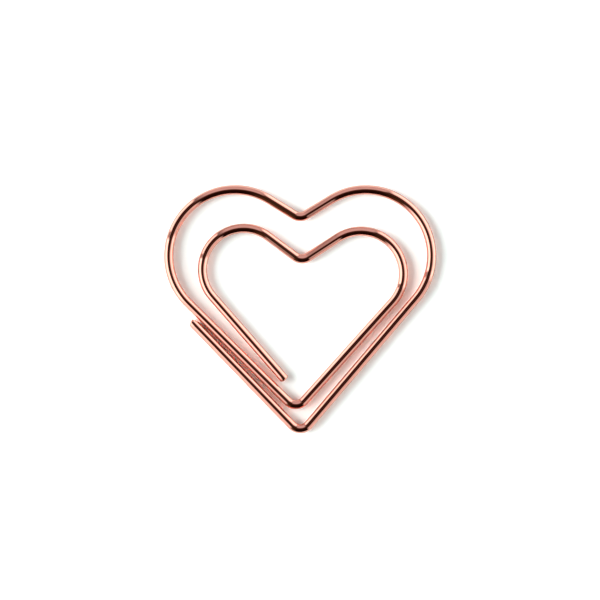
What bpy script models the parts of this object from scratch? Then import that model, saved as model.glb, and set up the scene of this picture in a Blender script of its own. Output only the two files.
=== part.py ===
# Heart-shaped paper clip: one length of round plated steel wire, bent into a heart inside a heart.
# The wire runs from its outer free end round the outer heart, down the connecting leg and round the
# inner heart to its inner free end. It never crosses itself, so the clip lies flat.
# Metres, +Z up. The clip lies on z = 0 with its lobes towards +Y, centred on its own outline.
# The inner heart springs out of the outer heart's plane, because the wire twists about its own line
# near the crown of the outer left lobe. The two named lengths of wire meet there, face to face.

import bpy
import math
from mathutils import Vector

# The wire and the outer heart
wire_diameter = 0.00105
heart_width = 0.0300
heart_height = 0.02735
lobe_spacing = 0.01439       # between the centres of the two outer lobes
bend_radius = 0.00125        # to the wire's centre line, at the two tips and the two notches
notch_run = 0.00319          # the straight run between an outer lobe and the outer notch

# The clear gaps between the outer and the inner heart
crown_gap_right = 0.00350
crown_gap_left = 0.00318
side_gap_right = 0.00206
side_gap_left = 0.00266
leg_gap_right = 0.00066      # between the right legs, where the inner lobe starts
leg_gap_left = 0.00131       # between the connecting leg and the inner left lobe
notch_gap = 0.00361
tip_gap = 0.00160
inner_tip_shift = -0.00048   # the inner heart's tip and notch lie a little off the middle line
inner_notch_shift = 0.00020

# The two free ends, which both lie beside the connecting leg
outer_end_gap = 0.00013
outer_end_drop = 0.00180     # below the top of the connecting leg
inner_end_gap = 0.00043
inner_end_rise = 0.00185     # above the foot of the connecting leg

# The place where the wire twists, and how the wire is drawn
twist_angle = math.radians(113.0)   # on the outer left lobe, from +X
twist_gap = 0.00010
twist_straight = 0.00030     # the wire is straight for this long on each side of the twist
lobe_step = math.radians(7.5)
bend_step = math.radians(15.0)
facet_rows = 12              # flat sides round the wire, one of them straight down

plating_colour = (0.80, 0.46, 0.37, 1.0)
plating_roughness = 0.12

wire_radius = wire_diameter / 2
half_width = heart_width / 2 - wire_radius
half_height = heart_height / 2 - wire_radius
lobe_radius = half_width - lobe_spacing / 2


class Bend:
    """A stretch of wire on a circle: counterclockwise seen from above, or clockwise in a notch."""

    def __init__(self, x, y, radius, clockwise=False):
        self.centre = Vector((x, y))
        self.radius = radius
        self.side = -1 if clockwise else 1
        self.step = lobe_step if radius > 2 * bend_radius else bend_step

    def at(self, angle):
        return self.centre + self.radius * Vector((math.cos(angle), math.sin(angle)))


def free_end(point):
    """A wire end, as a bend of no radius."""
    return Bend(point.x, point.y, 0.0)


def straight_between(first, second):
    """The straight run that leaves one bend and enters the next, as its two ends."""
    run = second.centre - first.centre
    along = run.normalized()
    left = Vector((-along.y, along.x))
    sine = (second.side * second.radius - first.side * first.radius) / run.length
    normal = sine * along + math.sqrt(1 - sine * sine) * left
    return first.centre - first.side * first.radius * normal, second.centre - second.side * second.radius * normal


def angle_of(bend, point):
    offset = point - bend.centre
    return math.atan2(offset.y, offset.x)


def points_on(bend, start, end):
    """Points from one angle to another, with the bend's four outermost places among them."""
    if bend.side > 0:
        end = start + (end - start) % (2 * math.pi)
    else:
        end = start - (start - end) % (2 * math.pi)
    steps = range(math.floor(min(start, end) / bend.step), math.ceil(max(start, end) / bend.step) + 1)
    angles = [number * bend.step for number in steps]
    spare = bend.step / 3
    inside = [angle for angle in angles if min(start, end) + spare < angle < max(start, end) - spare]
    if bend.side < 0:
        inside.reverse()
    return [bend.at(angle) for angle in [start] + inside + [end]]


def three_gap_bend(side_x, crown_y, leg_start, leg_end, leg_distance):
    """The lobe that reaches side_x and crown_y and passes a leg at leg_distance, on the leg's left."""
    along = (leg_end - leg_start).normalized()
    left = Vector((-along.y, along.x))
    outward = 1 if side_x > 0 else -1
    reach = left.dot(Vector((side_x, crown_y)) - leg_start) - leg_distance
    radius = reach / (1 + left.x * outward + left.y)
    return Bend(side_x - outward * radius, crown_y - radius, radius)


def wire_route():
    """The ten bends and ends of the wire, in order."""
    outer_tip = Bend(0, bend_radius - half_height, bend_radius)
    outer_right = Bend(lobe_spacing / 2, half_height - lobe_radius, lobe_radius)
    outer_left = Bend(-lobe_spacing / 2, half_height - lobe_radius, lobe_radius)
    notch_rise = math.sqrt((lobe_radius + bend_radius) ** 2 + notch_run ** 2 - (lobe_spacing / 2) ** 2)
    outer_notch = Bend(0, outer_right.centre.y + notch_rise, bend_radius, clockwise=True)
    inner_tip = Bend(inner_tip_shift, outer_tip.centre.y + wire_diameter + tip_gap, bend_radius)
    inner_notch = Bend(inner_notch_shift, outer_notch.centre.y - wire_diameter - notch_gap, bend_radius,
                       clockwise=True)

    right_leg = straight_between(outer_tip, outer_right)
    inner_right = three_gap_bend(half_width - wire_diameter - side_gap_right,
                                 half_height - wire_diameter - crown_gap_right,
                                 *right_leg, wire_diameter + leg_gap_right)
    leg_top, leg_foot = straight_between(outer_left, inner_tip)
    inner_left = three_gap_bend(wire_diameter + side_gap_left - half_width,
                                half_height - wire_diameter - crown_gap_left,
                                leg_top, leg_foot, wire_diameter + leg_gap_left)

    along = (leg_foot - leg_top).normalized()
    left = Vector((-along.y, along.x))
    outer_end = leg_top + outer_end_drop * along - (wire_diameter + outer_end_gap) * left
    inner_end = leg_foot - inner_end_rise * along + (wire_diameter + inner_end_gap) * left
    return [free_end(outer_end), outer_tip, outer_right, outer_notch, outer_left,
            inner_tip, inner_right, inner_notch, inner_left, free_end(inner_end)]


def wire_points(route, twisting_bend):
    """The centre line in two lists, before and after the place where the wire twists."""
    lengths = [[], []]
    part = 0
    for before, bend, after in zip(route, route[1:], route[2:]):
        start = angle_of(bend, straight_between(before, bend)[1])
        end = angle_of(bend, straight_between(bend, after)[0])
        if bend is not twisting_bend:
            lengths[part] += points_on(bend, start, end)
            continue
        twist_point, twist_along = twist_place(bend)
        near = twist_along * twist_gap / 2
        far = near + twist_along * twist_straight
        clear = (twist_gap / 2 + twist_straight) * 2 / bend.radius
        lengths[0] += points_on(bend, start, twist_angle - clear) + [twist_point - far, twist_point - near]
        lengths[1] += [twist_point + near, twist_point + far] + points_on(bend, twist_angle + clear, end)
        part = 1
    return [route[0].centre] + lengths[0], lengths[1] + [route[-1].centre]


def twist_place(bend):
    """Where the wire twists, and which way it runs there."""
    return bend.at(twist_angle), Vector((-math.sin(twist_angle), math.cos(twist_angle)))


def plated_metal(name):
    material = bpy.data.materials.new(name)
    material.use_nodes = True
    shader = material.node_tree.nodes["Principled BSDF"]
    shader.inputs["Base Color"].default_value = plating_colour
    shader.inputs["Metallic"].default_value = 1.0
    shader.inputs["Roughness"].default_value = plating_roughness
    material.diffuse_color = plating_colour
    return material


def round_wire(name, points, origin, material, collection):
    """A wire through the points, lying on z = 0, whose object has its origin at the given point."""
    curve = bpy.data.curves.new(name, "CURVE")
    curve.dimensions = "3D"
    curve.twist_mode = "Z_UP"
    curve.bevel_depth = wire_radius / math.cos(math.pi / facet_rows)
    curve.bevel_resolution = (facet_rows - 4) // 2
    curve.use_fill_caps = True
    spline = curve.splines.new("POLY")
    spline.points.add(len(points) - 1)
    for place, point in zip(spline.points, points):
        place.co = (point.x - origin.x, point.y - origin.y, 0, 1)
        place.tilt = math.pi / facet_rows
    wire = bpy.data.objects.new(name, curve)
    wire.location = (origin.x, origin.y, wire_radius)
    curve.materials.append(material)
    collection.objects.link(wire)
    return wire


def main():
    for old in list(bpy.data.objects):
        bpy.data.objects.remove(old, do_unlink=True)
    clip = bpy.data.collections.new("heart_paper_clip")
    bpy.context.scene.collection.children.link(clip)

    route = wire_route()
    outer_left = route[4]
    outer_points, inner_points = wire_points(route, outer_left)
    twist_point, twist_along = twist_place(outer_left)
    round_wire("outer_heart", outer_points, Vector((0, 0)), plated_metal("outer_heart_plating"), clip)
    round_wire("inner_heart", inner_points, twist_point, plated_metal("inner_heart_plating"), clip)
    print("twist at", [round(value * 1000, 3) for value in twist_point], "mm, along", list(twist_along))


main()
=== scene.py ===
# Heart-shaped paper clip in rose gold plated wire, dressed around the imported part.
# Metres, +Z up. The clip lies on z = 0 with its lobes towards +Y.

import math
import bpy
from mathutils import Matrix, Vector


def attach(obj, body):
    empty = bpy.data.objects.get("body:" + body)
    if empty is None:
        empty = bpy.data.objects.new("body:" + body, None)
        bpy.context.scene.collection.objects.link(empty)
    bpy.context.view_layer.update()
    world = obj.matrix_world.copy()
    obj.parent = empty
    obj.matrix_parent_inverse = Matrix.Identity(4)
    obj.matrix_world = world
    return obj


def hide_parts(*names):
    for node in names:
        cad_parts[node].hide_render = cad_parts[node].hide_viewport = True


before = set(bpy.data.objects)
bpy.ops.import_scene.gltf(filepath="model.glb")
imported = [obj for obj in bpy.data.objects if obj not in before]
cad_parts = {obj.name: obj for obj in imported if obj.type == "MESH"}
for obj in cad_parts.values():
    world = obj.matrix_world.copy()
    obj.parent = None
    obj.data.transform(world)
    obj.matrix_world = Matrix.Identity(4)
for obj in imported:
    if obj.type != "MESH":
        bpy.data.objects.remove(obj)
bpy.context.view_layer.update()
mm = 0.001


# An sRGB hex value as a linear colour.
def linearColour(hexCode):
    channels = [int(hexCode[place:place + 2], 16) / 255 for place in (1, 3, 5)]
    return [c / 12.92 if c <= 0.04045 else ((c + 0.055) / 1.055) ** 2.4 for c in channels] + [1.0]


# Adds a node, sets its own settings and its sockets, and links the sockets that are given a socket.
def addNode(tree, kind, sockets=None, **settings):
    made = tree.nodes.new(kind)
    for name, value in settings.items():
        setattr(made, name, value)
    for key, value in (sockets or {}).items():
        if isinstance(value, bpy.types.NodeSocket):
            tree.links.new(value, made.inputs[key])
        else:
            made.inputs[key].default_value = value
    return made


photo = {
    "middle": (-0.018 * mm, 1.015 * mm),     # what the middle of the picture looks at
    "widthSeen": 66.08 * mm,                 # across the picture, at the height of the wire's middle
    "lens": 150.0,                           # in mm, as is the sensor
    "sensor": 36.0,
    "depthSeen": 100,                        # the camera's distance, divided and multiplied by this
}


def makeCamera(wireMiddle):
    view = bpy.data.cameras.new("photoCamera")
    view.lens = photo["lens"]
    view.sensor_width = photo["sensor"]
    camera = bpy.data.objects.new("photoCamera", view)
    distance = photo["lens"] / photo["sensor"] * photo["widthSeen"]
    camera.location = (*photo["middle"], wireMiddle + distance)     # unturned, it looks straight down
    view.clip_start = distance / photo["depthSeen"]
    view.clip_end = distance * photo["depthSeen"]
    bpy.context.scene.collection.objects.link(camera)
    bpy.context.scene.camera = camera


# The path of the wire, as the part's source draws it.
wire = {
    "diameter": 1.05 * mm,
    "heartWidth": 30.0 * mm,
    "heartHeight": 27.35 * mm,
    "lobeSpacing": 14.39 * mm,      # between the centres of the two outer lobes
    "bendRadius": 1.25 * mm,        # to the centre line, at the two tips and the two notches
    "notchRun": 3.19 * mm,
    "crownGapRight": 3.50 * mm,     # clear gaps between the outer and the inner heart
    "crownGapLeft": 3.18 * mm,
    "sideGapRight": 2.06 * mm,
    "sideGapLeft": 2.66 * mm,
    "legGapRight": 0.66 * mm,
    "legGapLeft": 1.31 * mm,
    "notchGap": 3.61 * mm,
    "tipGap": 1.60 * mm,
    "innerTipShift": -0.48 * mm,
    "innerNotchShift": 0.20 * mm,
    "outerEndGap": 0.13 * mm,
    "outerEndDrop": 1.80 * mm,
    "innerEndGap": 0.43 * mm,
    "innerEndRise": 1.85 * mm,
    "twistAngle": math.radians(113.0),      # where the inner heart springs from the outer one
    "twistGap": 0.002 * mm,                 # too fine to see, and keeps the two faces from touching
    "twistStraight": 0.05 * mm,             # straight on each side of it, so that its faces are square
}
wireRadius = wire["diameter"] / 2
halfWidth = wire["heartWidth"] / 2 - wireRadius
halfHeight = wire["heartHeight"] / 2 - wireRadius
lobeRadius = halfWidth - wire["lobeSpacing"] / 2

mesh = {
    "sides": 56,                            # round the wire
    "lobeStep": math.radians(1.5),
    "bendStep": math.radians(3.0),
    "straightStep": 0.6 * mm,
}


# A stretch of wire on a circle: counterclockwise seen from above, or clockwise in a notch. A free end
# is a bend of no radius.
class Bend:
    def __init__(self, x, y, radius, clockwise=False):
        self.centre = Vector((x, y))
        self.radius = radius
        self.side = -1 if clockwise else 1
        isLobe = radius > 2 * wire["bendRadius"]
        self.step = mesh["lobeStep"] if isLobe else mesh["bendStep"]

    def at(self, angle):
        return self.centre + self.radius * Vector((math.cos(angle), math.sin(angle)))

    def angleOf(self, point):
        offset = point - self.centre
        return math.atan2(offset.y, offset.x)


# The straight run that leaves one bend and enters the next, as its two ends.
def straightBetween(first, second):
    run = second.centre - first.centre
    along = run.normalized()
    left = Vector((-along.y, along.x))
    sine = (second.side * second.radius - first.side * first.radius) / run.length
    normal = sine * along + math.sqrt(1 - sine * sine) * left
    leave = first.centre - first.side * first.radius * normal
    enter = second.centre - second.side * second.radius * normal
    return leave, enter


# The lobe that reaches sideX and crownY and passes a leg at legDistance, on the leg's left.
def threeGapBend(sideX, crownY, legStart, legEnd, legDistance):
    along = (legEnd - legStart).normalized()
    left = Vector((-along.y, along.x))
    outward = 1 if sideX > 0 else -1
    reach = left.dot(Vector((sideX, crownY)) - legStart) - legDistance
    radius = reach / (1 + left.x * outward + left.y)
    return Bend(sideX - outward * radius, crownY - radius, radius)


# The ten bends and ends of the wire, in order from the outer free end to the inner one.
def wireRoute():
    bend, across = wire["bendRadius"], wire["diameter"]
    outerTip = Bend(0, bend - halfHeight, bend)
    outerRight = Bend(wire["lobeSpacing"] / 2, halfHeight - lobeRadius, lobeRadius)
    outerLeft = Bend(-wire["lobeSpacing"] / 2, halfHeight - lobeRadius, lobeRadius)
    notchRise = math.sqrt((lobeRadius + bend) ** 2 + wire["notchRun"] ** 2 - (wire["lobeSpacing"] / 2) ** 2)
    outerNotch = Bend(0, outerRight.centre.y + notchRise, bend, clockwise=True)
    innerTip = Bend(wire["innerTipShift"], outerTip.centre.y + across + wire["tipGap"], bend)
    innerNotch = Bend(wire["innerNotchShift"], outerNotch.centre.y - across - wire["notchGap"], bend,
                      clockwise=True)

    rightLeg = straightBetween(outerTip, outerRight)
    innerRight = threeGapBend(halfWidth - across - wire["sideGapRight"],
                              halfHeight - across - wire["crownGapRight"],
                              *rightLeg, across + wire["legGapRight"])
    legTop, legFoot = straightBetween(outerLeft, innerTip)
    innerLeft = threeGapBend(across + wire["sideGapLeft"] - halfWidth,
                             halfHeight - across - wire["crownGapLeft"],
                             legTop, legFoot, across + wire["legGapLeft"])

    along = (legFoot - legTop).normalized()
    left = Vector((-along.y, along.x))
    outerEnd = legTop + wire["outerEndDrop"] * along - (across + wire["outerEndGap"]) * left
    innerEnd = legFoot - wire["innerEndRise"] * along + (across + wire["innerEndGap"]) * left
    return [Bend(*outerEnd, 0), outerTip, outerRight, outerNotch, outerLeft,
            innerTip, innerRight, innerNotch, innerLeft, Bend(*innerEnd, 0)]


# Places round a bend, with the bend's four outermost ones among them. A place is a point and how
# sharply the wire is bent there: 1 at the tips and notches, 0 where it is straight.
def placesOn(bend, start, end):
    if bend.side > 0:
        end = start + (end - start) % (2 * math.pi)
    else:
        end = start - (start - end) % (2 * math.pi)
    low, high = min(start, end), max(start, end)
    spare = bend.step / 3           # no step is shorter than this
    numbers = range(math.floor(low / bend.step), math.ceil(high / bend.step) + 1)
    inside = [number * bend.step for number in numbers if low + spare < number * bend.step < high - spare]
    if bend.side < 0:
        inside.reverse()
    return [(bend.at(angle), wire["bendRadius"] / bend.radius) for angle in [start] + inside + [end]]


# Places on a straight run, without its two ends.
def placesBetween(start, end):
    count = max(1, round((end - start).length / mesh["straightStep"]))
    return [(start.lerp(end, number / count), 0.0) for number in range(1, count)]


# The centre line in two lists of places: the outer heart's, and the inner heart's from its free end.
def wirePlaces(route, twistingBend):
    lengths = [[(route[0].centre, 0.0)], []]
    part = 0
    for before, bend, after in zip(route, route[1:], route[2:]):
        enter = straightBetween(before, bend)[1]
        leave = straightBetween(bend, after)[0]
        start, end = bend.angleOf(enter), bend.angleOf(leave)
        lengths[part] += placesBetween(lengths[part][-1][0], enter)
        if bend is twistingBend:
            turn = wire["twistAngle"]
            along = Vector((-math.sin(turn), math.cos(turn)))
            near = along * wire["twistGap"] / 2
            far = near + along * wire["twistStraight"]
            clear = 2 * far.length / bend.radius        # as an angle, no other place lies nearer
            twist = bend.at(turn)
            strain = wire["bendRadius"] / bend.radius
            lengths[0] += placesOn(bend, start, turn - clear)
            lengths[0] += [(twist - far, strain), (twist - near, strain)]
            lengths[1] += [(twist + near, strain), (twist + far, strain)]
            lengths[1] += placesOn(bend, turn + clear, end)
            part = 1
        else:
            lengths[part] += placesOn(bend, start, end)
    lengths[1] += placesBetween(lengths[1][-1][0], route[-1].centre) + [(route[-1].centre, 0.0)]
    return lengths[0], list(reversed(lengths[1]))


plating = {
    "colour": "#F0AE9C",
    "worn": "#E6A494",
    "patch": 1.5 * mm,              # across the places where the plating is a little thinner
    "patchDetail": 4.0,
    "roughness": (0.02, 0.06),      # between the lines and on them
    "drawLine": 0.09 * mm,          # between the fine lines that the drawing die leaves along the wire,
                                    # about three times as wide as real ones, so that they show
    "lineDetail": 3.0,
    "lineSpread": (0.3, 0.7),       # the pattern's values that give the two roughnesses
    "lineStretch": 0.02,            # across a line, as a share of its length
    "lineDepth": 0.0008 * mm,
    "peel": 0.11 * mm,              # grains that the tight bends raise, drawn twice as coarse as real
    "peelDetail": 2.0,
    "peelDepth": 0.0022 * mm,
    "pitSpacing": 0.8 * mm,
    "pit": 0.035 * mm,              # dust pits, three times as wide as real ones
    "pitDepth": 0.004 * mm,
    "cutColour": "#C98E80",         # the sheared ends are rougher, so their plating looks duller
    "cutRoughness": 0.32,
}


# Bright copper-rich electroplate over drawn steel wire. To the eye it is a pink mirror, whose fine
# lines along the wire draw the lamps out a little, and whose tight bends are faintly grained.
def makePlating():
    material = bpy.data.materials.new("roseGoldPlatedWire")
    material.use_nodes = True
    tree = material.node_tree
    shader = tree.nodes["Principled BSDF"]
    place = addNode(tree, "ShaderNodeAttribute", attribute_name="straightWire").outputs["Vector"]
    strain = addNode(tree, "ShaderNodeAttribute", attribute_name="bendStrain").outputs["Fac"]
    cut = addNode(tree, "ShaderNodeAttribute", attribute_name="cutFace").outputs["Fac"]
    stretch = (1, 1, plating["lineStretch"])
    stretched = addNode(tree, "ShaderNodeMapping", {"Vector": place, "Scale": stretch})
    lines = addNode(tree, "ShaderNodeTexNoise", {"Vector": stretched.outputs["Vector"],
                                                 "Scale": 1 / plating["drawLine"],
                                                 "Detail": plating["lineDetail"]})
    grains = addNode(tree, "ShaderNodeTexNoise", {"Vector": place, "Scale": 1 / plating["peel"],
                                                  "Detail": plating["peelDetail"]})
    patches = addNode(tree, "ShaderNodeTexNoise", {"Vector": place, "Scale": 1 / plating["patch"],
                                                   "Detail": plating["patchDetail"]})
    pits = addNode(tree, "ShaderNodeTexVoronoi", {"Vector": place, "Scale": 1 / plating["pitSpacing"]})
    pitShare = plating["pit"] / plating["pitSpacing"]
    sunk = addNode(tree, "ShaderNodeMapRange", {"Value": pits.outputs["Distance"], "From Min": 0.0,
                                                "From Max": pitShare}, interpolation_type="SMOOTHSTEP")

    # A Mix node's two colours are its sockets 6 and 7, and its two plain values 2 and 3.
    plated = addNode(tree, "ShaderNodeMix", {0: patches.outputs["Fac"],
                                             6: linearColour(plating["colour"]),
                                             7: linearColour(plating["worn"])}, data_type="RGBA")
    colour = addNode(tree, "ShaderNodeMix", {0: cut, 6: plated.outputs[2],
                                             7: linearColour(plating["cutColour"])}, data_type="RGBA")
    low, high = plating["lineSpread"]
    smooth, dull = plating["roughness"]
    drawn = addNode(tree, "ShaderNodeMapRange", {"Value": lines.outputs["Fac"], "From Min": low,
                                                 "From Max": high, "To Min": smooth, "To Max": dull})
    rough = addNode(tree, "ShaderNodeMix", {0: cut, 2: drawn.outputs["Result"],
                                            3: plating["cutRoughness"]}, data_type="FLOAT")

    lineBump = addNode(tree, "ShaderNodeBump", {"Height": lines.outputs["Fac"],
                                                "Distance": plating["lineDepth"]})
    raised = addNode(tree, "ShaderNodeMath", {0: grains.outputs["Fac"], 1: strain}, operation="MULTIPLY")
    grainBump = addNode(tree, "ShaderNodeBump", {"Height": raised.outputs[0],
                                                 "Distance": plating["peelDepth"],
                                                 "Normal": lineBump.outputs["Normal"]})
    pitBump = addNode(tree, "ShaderNodeBump", {"Height": sunk.outputs["Result"],
                                               "Distance": plating["pitDepth"],
                                               "Normal": grainBump.outputs["Normal"]})
    for bump in (lineBump, grainBump, pitBump):
        bump.inputs["Strength"].default_value = 1.0
    shader.inputs["Metallic"].default_value = 1.0
    tree.links.new(colour.outputs[2], shader.inputs["Base Color"])
    tree.links.new(rough.outputs[0], shader.inputs["Roughness"])
    tree.links.new(pitBump.outputs["Normal"], shader.inputs["Normal"])
    return material


cutEnd = {
    "rim": 0.12 * mm,           # the rounding of the sheared edge
    "dome": 0.05 * mm,          # how far the cut face stands proud in its middle
    "rimSteps": 5,
    "domeSteps": 6,
    "capHole": 0.02,            # a hole in the middle, too small to see, that the cap closes
    "nose": -0.55,              # where the cut stands furthest out, across the wire from -1 to 1
    "crushFrom": -0.275,        # where the crushed corner begins
    "reach": 1.2 * mm,          # how far from the end its slant is felt
    "outerSlant": 0.31 * mm,    # the outer end was nipped off at a slant, and its corner crushed
    "outerCrush": 0.65 * mm,
    "innerSlant": 0.03 * mm,    # the inner end was cut nearly square
    "innerCrush": 0.10 * mm,
}


# Distances from the very end, each with the wire's share of its full radius there, and 1 on the
# cut face or 0 beside it.
def cutEndProfile():
    face = 1 - cutEnd["rim"] / wireRadius
    profile = []
    for step in range(cutEnd["domeSteps"]):
        turn = math.pi / 2 * step / cutEnd["domeSteps"]
        profile.append((cutEnd["dome"] * (1 - math.cos(turn)), face * math.sin(turn), 1.0))
    for step in range(cutEnd["rimSteps"] + 1):
        turn = math.pi / 2 * step / cutEnd["rimSteps"]
        distance = cutEnd["dome"] + cutEnd["rim"] * (1 - math.cos(turn))
        profile.append((distance, face + (1 - face) * math.sin(turn), 1.0 if step == 0 else 0.0))
    profile[0] = (0.0, cutEnd["capHole"], 1.0)
    return profile


# Sweeps a round wire along a line of points, keeps on the mesh where each of its points lies on the
# wire, and slants the end at the line's first point.
def sweepTree():
    tree = bpy.data.node_groups.new("sweepWire", "GeometryNodeTree")
    sockets = tree.interface
    sockets.new_socket("Centre Line", in_out="INPUT", socket_type="NodeSocketGeometry")
    for name in ("Wire Radius", "Measured From", "Measured Direction", "Slant", "Crush"):
        sockets.new_socket(name, in_out="INPUT", socket_type="NodeSocketFloat")
    sockets.new_socket("Sides", in_out="INPUT", socket_type="NodeSocketInt")
    sockets.new_socket("Finish", in_out="INPUT", socket_type="NodeSocketMaterial")
    sockets.new_socket("Wire", in_out="OUTPUT", socket_type="NodeSocketGeometry")
    given = addNode(tree, "NodeGroupInput").outputs

    # The line keeps its length so far and its direction, and the circle its own points.
    curve = addNode(tree, "GeometryNodeMeshToCurve", {"Mesh": given["Centre Line"]})
    upright = addNode(tree, "GeometryNodeSetCurveNormal", {"Curve": curve.outputs[0]}, mode="Z_UP")
    line = addNode(tree, "GeometryNodeCaptureAttribute", {"Geometry": upright.outputs[0]})
    line.capture_items.new("FLOAT", "length")
    line.capture_items.new("VECTOR", "direction")
    tree.links.new(addNode(tree, "GeometryNodeSplineParameter").outputs["Length"], line.inputs["length"])
    tree.links.new(addNode(tree, "GeometryNodeInputTangent").outputs[0], line.inputs["direction"])
    ring = addNode(tree, "GeometryNodeCurvePrimitiveCircle", {"Resolution": given["Sides"],
                                                              "Radius": given["Wire Radius"]})
    circle = addNode(tree, "GeometryNodeCaptureAttribute", {"Geometry": ring.outputs["Curve"]})
    circle.capture_items.new("VECTOR", "round")
    tree.links.new(addNode(tree, "GeometryNodeInputPosition").outputs[0], circle.inputs["round"])
    share = addNode(tree, "GeometryNodeInputNamedAttribute", {"Name": "share"}, data_type="FLOAT")
    swept = addNode(tree, "GeometryNodeCurveToMesh", {"Curve": line.outputs["Geometry"],
                                                      "Profile Curve": circle.outputs["Geometry"],
                                                      "Scale": share.outputs[0], "Fill Caps": True})

    # Each point of the mesh keeps its place on the wire as if the wire were pulled straight.
    alongWire = addNode(tree, "ShaderNodeMath", {0: line.outputs["length"], 1: given["Measured Direction"],
                                                 2: given["Measured From"]}, operation="MULTIPLY_ADD")
    alongOnly = addNode(tree, "ShaderNodeCombineXYZ", {"Z": alongWire.outputs[0]})
    around = addNode(tree, "ShaderNodeVectorMath", {0: circle.outputs["round"],
                                                    "Scale": share.outputs[0]}, operation="SCALE")
    place = addNode(tree, "ShaderNodeVectorMath", {0: around.outputs[0],
                                                   1: alongOnly.outputs[0]}, operation="ADD")
    stored = addNode(tree, "GeometryNodeStoreNamedAttribute", {"Geometry": swept.outputs["Mesh"],
                                                               "Name": "straightWire",
                                                               "Value": place.outputs[0]},
                     data_type="FLOAT_VECTOR", domain="POINT")

    # The shears leave a nose on one side of the cut and crush the corner beyond it.
    across = addNode(tree, "ShaderNodeSeparateXYZ", {0: around.outputs[0]}).outputs["X"]
    sideways = addNode(tree, "ShaderNodeMath", {0: across, 1: given["Wire Radius"]},
                       operation="DIVIDE").outputs[0]
    slant = addNode(tree, "ShaderNodeMapRange", {"Value": sideways, "From Min": 1.0,
                                                 "From Max": cutEnd["nose"], "To Min": 0.0,
                                                 "To Max": given["Slant"]})
    crush = addNode(tree, "ShaderNodeMapRange", {"Value": sideways, "From Min": cutEnd["crushFrom"],
                                                 "From Max": -1.0, "To Min": 0.0,
                                                 "To Max": given["Crush"]},
                    interpolation_type="SMOOTHSTEP")
    outward = addNode(tree, "ShaderNodeMath", {0: crush.outputs[0], 1: slant.outputs[0]},
                      operation="SUBTRACT")
    felt = addNode(tree, "ShaderNodeMapRange", {"Value": line.outputs["length"], "From Min": 0.0,
                                                "From Max": cutEnd["reach"], "To Min": 1.0,
                                                "To Max": 0.0}, interpolation_type="SMOOTHSTEP")
    amount = addNode(tree, "ShaderNodeMath", {0: outward.outputs[0], 1: felt.outputs[0]},
                     operation="MULTIPLY")
    shift = addNode(tree, "ShaderNodeVectorMath", {0: line.outputs["direction"],
                                                   "Scale": amount.outputs[0]}, operation="SCALE")
    slanted = addNode(tree, "GeometryNodeSetPosition", {"Geometry": stored.outputs["Geometry"],
                                                        "Offset": shift.outputs[0]})
    real = addNode(tree, "GeometryNodeRealizeInstances", {"Geometry": slanted.outputs["Geometry"]})
    finished = addNode(tree, "GeometryNodeSetMaterial", {"Geometry": real.outputs["Geometry"],
                                                         "Material": given["Finish"]})
    addNode(tree, "NodeGroupOutput", {"Wire": finished.outputs["Geometry"]})
    return tree


def setInput(modifier, name, value):
    for item in modifier.node_group.interface.items_tree:
        if item.name == name and item.in_out == "INPUT":
            modifier[item.identifier] = value


# Sweeps one length of wire, whose first place is its free end and whose last is at the twist.
def sweepWire(name, places, tree, inputs):
    ends = [places[0][0], places[1][0]]
    along = (ends[1] - ends[0]).normalized()
    line = [(ends[0] + along * distance, share, 0.0, cut) for distance, share, cut in cutEndProfile()]
    line += [(point, 1.0, strain, 0.0) for point, strain in places[1:]]
    thread = bpy.data.meshes.new(name + "Line")
    thread.from_pydata([(point.x, point.y, wireRadius) for point, *kept in line],
                       [(number, number + 1) for number in range(len(line) - 1)], [])
    for column, label in ((1, "share"), (2, "bendStrain"), (3, "cutFace")):
        kept = thread.attributes.new(label, "FLOAT", "POINT")
        kept.data.foreach_set("value", [row[column] for row in line])
    host = bpy.data.objects.new(name + "Line", thread)
    bpy.context.scene.collection.objects.link(host)

    sweep = host.modifiers.new("sweepWire", "NODES")
    sweep.node_group = tree
    for label, value in inputs.items():
        setInput(sweep, label, value)
    depsgraph = bpy.context.evaluated_depsgraph_get()
    plain = bpy.data.meshes.new_from_object(host.evaluated_get(depsgraph), preserve_all_data_layers=True,
                                            depsgraph=depsgraph)
    bpy.data.objects.remove(host)
    plain.name = name
    made = bpy.data.objects.new(name, plain)
    bpy.context.scene.collection.objects.link(made)
    plain.shade_smooth()
    return made


def lineLength(places):
    return sum((after[0] - before[0]).length for before, after in zip(places, places[1:]))


studio = {
    "floorColour": "#E4EDEB",
    "floorSize": 3.0,
    "floorGain": 0.35,          # how much paler the paper looks, so that it is white with its shadow kept
    "mirroredGain": 0.06,       # how much paler it looks in the wire
    "thrownGain": 1.1,          # how much stronger the light is that the wire throws on the paper
    "thrownPower": 1.5,         # how that grows with each bounce between the wires
    "dark": "#1F0E07",          # the unlit room, of warm brown things
    "ceiling": "#4A382D",       # round the camera, straight above
    "ceilingEdge": (0.97, 0.995),       # where it begins and is whole, as the height of a direction
}

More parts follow.
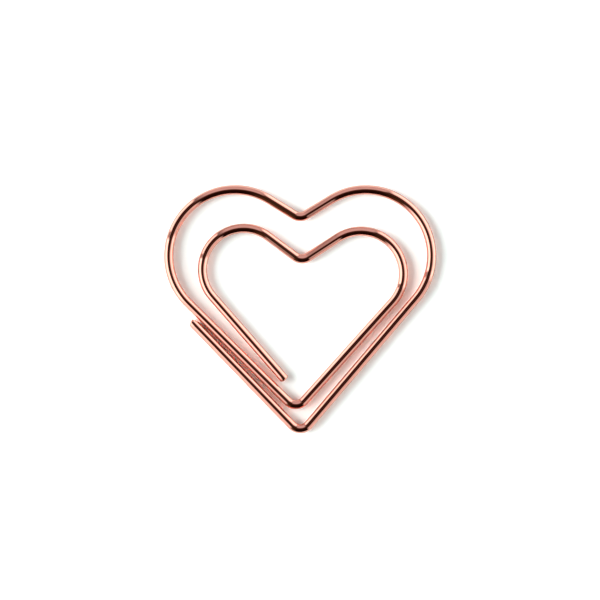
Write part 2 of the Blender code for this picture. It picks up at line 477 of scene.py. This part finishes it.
# Flat soft panels that stand round the clip, each at distance 1 and facing it. Azimuth is in degrees
# from +X towards +Y. The other sizes are in shares of the distance: the right and left edges as the
# clip sees them, from the middle, the height of the top edge above the clip, and how far each fades.
# The wire mirrors a panel at its mirrored strength, and the panel lights the paper at its shed
# strength. The key and the fill light the paper, and are hidden from the wire's own reflections.
panels = {
    "leftSoftbox": {"azimuth": 194, "right": -0.56, "rightFade": 0.045, "left": 0.63, "leftFade": 0.30,
                    "top": 1.58, "topFade": 0.39, "mirrored": 2.3, "shed": 2.3, "colour": "#FFFFFF"},
    "leftBackSoftbox": {"azimuth": 144, "right": -0.29, "rightFade": 0.05, "left": 0.255, "leftFade": 0.035,
                        "top": 0.52, "topFade": 1.05, "mirrored": 3.6, "shed": 0.8, "colour": "#FFFFFF"},
    "rightSoftbox": {"azimuth": 25, "right": -0.90, "rightFade": 0.14, "left": 0.90, "leftFade": 0.14,
                     "top": 0.75, "topFade": 2.6, "mirrored": 3.6, "shed": 0.0, "colour": "#FFFFFF"},
    "fill": {"azimuth": 2, "right": -0.40, "rightFade": 0.15, "left": 0.40, "leftFade": 0.15,
             "top": 0.75, "topFade": 2.6, "mirrored": 0.0, "shed": 6.4, "colour": "#FFFFFF"},
    "backWall": {"azimuth": 97, "right": -0.53, "rightFade": 0.05, "left": 0.50, "leftFade": 0.20,
                 "top": 4.2, "topFade": 1.0, "mirrored": 0.74, "shed": 0.50, "colour": "#FFFAFF"},
    "rightFill": {"azimuth": 323, "right": -0.36, "rightFade": 0.09, "left": 0.42, "leftFade": 0.10,
                  "top": 1.45, "topFade": 0.35, "mirrored": 0.90, "shed": 0.30, "colour": "#FFFFFF"},
    "brownThings": {"azimuth": 240, "right": -0.20, "rightFade": 0.10, "left": 0.15, "leftFade": 0.15,
                    "top": 1.4, "topFade": 1.0, "mirrored": 0.09, "shed": 0.09, "colour": "#FFD9A0"},
    "betweenSoftboxes": {"azimuth": 162, "right": -0.09, "rightFade": 0.03, "left": 0.09, "leftFade": 0.03,
                         "top": 1.3, "topFade": 0.4, "mirrored": 0.42, "shed": 0.42, "colour": "#FFFFFF"},
    "key": {"azimuth": 174, "right": -0.55, "rightFade": 0.10, "left": 0.55, "leftFade": 0.10,
            "top": 1.15, "topFade": 0.30, "mirrored": 0.0, "shed": 7.4, "colour": "#FFFFFF"},
}


# Uncoated white paper, pressed smooth. To the eye it is plain and matt: it has no gleam of its own,
# and shows only soft shadows and the pink that the wire throws on it.
def makeFloor():
    material = bpy.data.materials.new("matWhitePaper")
    material.use_nodes = True
    tree = material.node_tree
    tree.nodes.clear()
    path = addNode(tree, "ShaderNodeLightPath").outputs
    gain = addNode(tree, "ShaderNodeMath", {0: path["Is Camera Ray"], 1: studio["floorGain"], 2: 1.0},
                   operation="MULTIPLY_ADD")
    gain = addNode(tree, "ShaderNodeMath", {0: path["Is Glossy Ray"], 1: studio["mirroredGain"],
                                            2: gain.outputs[0]}, operation="MULTIPLY_ADD")
    shown = addNode(tree, "ShaderNodeVectorMath", {0: linearColour(studio["floorColour"])[:3],
                                                   "Scale": gain.outputs[0]}, operation="SCALE")
    paper = addNode(tree, "ShaderNodeBsdfDiffuse", {"Color": shown.outputs[0]})
    addNode(tree, "ShaderNodeOutputMaterial", {"Surface": paper.outputs[0]})

    half = studio["floorSize"] / 2
    corners = [(-half, -half, 0), (half, -half, 0), (half, half, 0), (-half, half, 0)]
    sheet = bpy.data.meshes.new("paperFloor")
    sheet.from_pydata(corners, [], [(0, 1, 2, 3)])
    sheet.materials.append(material)
    floor = bpy.data.objects.new("paperFloor", sheet)
    bpy.context.scene.collection.objects.link(floor)


# A dark room with the panels in it. Past the floor's edge the camera sees plain white.
def makeRoom():
    world = bpy.data.worlds.new("softStudio")
    world.use_nodes = True
    bpy.context.scene.world = world
    tree = world.node_tree
    tree.nodes.clear()
    direction = addNode(tree, "ShaderNodeTexCoord").outputs["Generated"]
    height = addNode(tree, "ShaderNodeSeparateXYZ", {0: direction}).outputs["Z"]
    low, high = studio["ceilingEdge"]
    overhead = addNode(tree, "ShaderNodeMapRange", {"Value": height, "From Min": low, "From Max": high},
                       interpolation_type="SMOOTHSTEP")
    glow = addNode(tree, "ShaderNodeVectorMath", {0: linearColour(studio["ceiling"])[:3],
                                                  "Scale": overhead.outputs[0]}, operation="SCALE")
    total = addNode(tree, "ShaderNodeVectorMath", {0: glow.outputs[0], 1: linearColour(studio["dark"])[:3]},
                    operation="ADD").outputs[0]

    # A ray that left the wire last, and met no paper, finds the panels' mirrored strengths. All others
    # find the shed ones. One that met the paper and left the wire last brings back the light that the
    # wire throws on the paper. A depth is a whole number, so one below a half is none.
    path = addNode(tree, "ShaderNodeLightPath").outputs
    noPaper = addNode(tree, "ShaderNodeMath", {0: path["Diffuse Depth"], 1: 0.5}, operation="LESS_THAN")
    mirrored = addNode(tree, "ShaderNodeMath", {0: path["Is Glossy Ray"], 1: noPaper.outputs[0]},
                       operation="MULTIPLY").outputs[0]
    thrown = addNode(tree, "ShaderNodeMath", {0: path["Is Glossy Ray"], 1: mirrored},
                     operation="SUBTRACT").outputs[0]
    bounces = addNode(tree, "ShaderNodeMath", {0: path["Glossy Depth"], 1: studio["thrownPower"]},
                      operation="POWER").outputs[0]
    thrown = addNode(tree, "ShaderNodeMath", {0: thrown, 1: bounces}, operation="MULTIPLY").outputs[0]
    gained = addNode(tree, "ShaderNodeMath", {0: thrown, 1: studio["thrownGain"], 2: 1.0},
                     operation="MULTIPLY_ADD").outputs[0]

    for panel in panels.values():
        strength = addNode(tree, "ShaderNodeMath", {0: mirrored, 1: panel["mirrored"] - panel["shed"],
                                                    2: panel["shed"]}, operation="MULTIPLY_ADD").outputs[0]
        strength = addNode(tree, "ShaderNodeMath", {0: strength, 1: gained},
                           operation="MULTIPLY").outputs[0]

        turn = math.radians(panel["azimuth"])
        facing = (math.cos(turn), math.sin(turn), 0)
        across = (-math.sin(turn), math.cos(turn), 0)
        front, side = [addNode(tree, "ShaderNodeVectorMath", {0: direction, 1: axis},
                               operation="DOT_PRODUCT").outputs["Value"] for axis in (facing, across)]
        side = addNode(tree, "ShaderNodeMath", {0: side, 1: front}, operation="DIVIDE").outputs[0]
        rise = addNode(tree, "ShaderNodeMath", {0: height, 1: front}, operation="DIVIDE").outputs[0]
        amount = addNode(tree, "ShaderNodeMath", {0: front, 1: 0.0}, operation="GREATER_THAN").outputs[0]
        for share, edge, before, after in ((side, "right", 0.0, 1.0), (side, "left", 1.0, 0.0),
                                           (rise, "top", strength, 0.0)):
            fade = panel[edge + "Fade"]
            faded = addNode(tree, "ShaderNodeMapRange", {"Value": share, "From Min": panel[edge] - fade,
                                                         "From Max": panel[edge] + fade,
                                                         "To Min": before, "To Max": after},
                            interpolation_type="SMOOTHSTEP")
            amount = addNode(tree, "ShaderNodeMath", {0: amount, 1: faded.outputs[0]},
                             operation="MULTIPLY").outputs[0]
        glow = addNode(tree, "ShaderNodeVectorMath", {0: linearColour(panel["colour"])[:3],
                                                      "Scale": amount}, operation="SCALE")
        total = addNode(tree, "ShaderNodeVectorMath", {0: glow.outputs[0], 1: total},
                        operation="ADD").outputs[0]
    room = addNode(tree, "ShaderNodeBackground", {"Color": total})
    white = addNode(tree, "ShaderNodeBackground", {"Color": (1, 1, 1, 1)})
    shown = addNode(tree, "ShaderNodeMixShader", {0: path["Is Camera Ray"], 1: room.outputs[0],
                                                  2: white.outputs[0]})
    addNode(tree, "ShaderNodeOutputWorld", {"Surface": shown.outputs[0]})


bpy.context.scene.view_settings.view_transform = "Standard"
makeCamera(wireRadius)
print("camera set")

route = wireRoute()
outerPlaces, innerPlaces = wirePlaces(route, route[4])
outerLength, innerLength = lineLength(outerPlaces), lineLength(innerPlaces)
tree = sweepTree()
shared = {"Wire Radius": wireRadius, "Sides": mesh["sides"], "Finish": makePlating()}
outerWire = sweepWire("outerHeartWire", outerPlaces, tree,
                      {**shared, "Measured From": 0.0, "Measured Direction": 1.0,
                       "Slant": cutEnd["outerSlant"], "Crush": cutEnd["outerCrush"]})
innerWire = sweepWire("innerHeartWire", innerPlaces, tree,
                      {**shared, "Measured From": outerLength + innerLength, "Measured Direction": -1.0,
                       "Slant": cutEnd["innerSlant"], "Crush": cutEnd["innerCrush"]})
for piece, node in ((outerWire, "outer_heart"), (innerWire, "inner_heart")):
    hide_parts(node)
    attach(piece, node)
print("wire swept:", round(outerLength / mm, 1), "and", round(innerLength / mm, 1), "mm")

makeFloor()
makeRoom()
print("floor and light set")
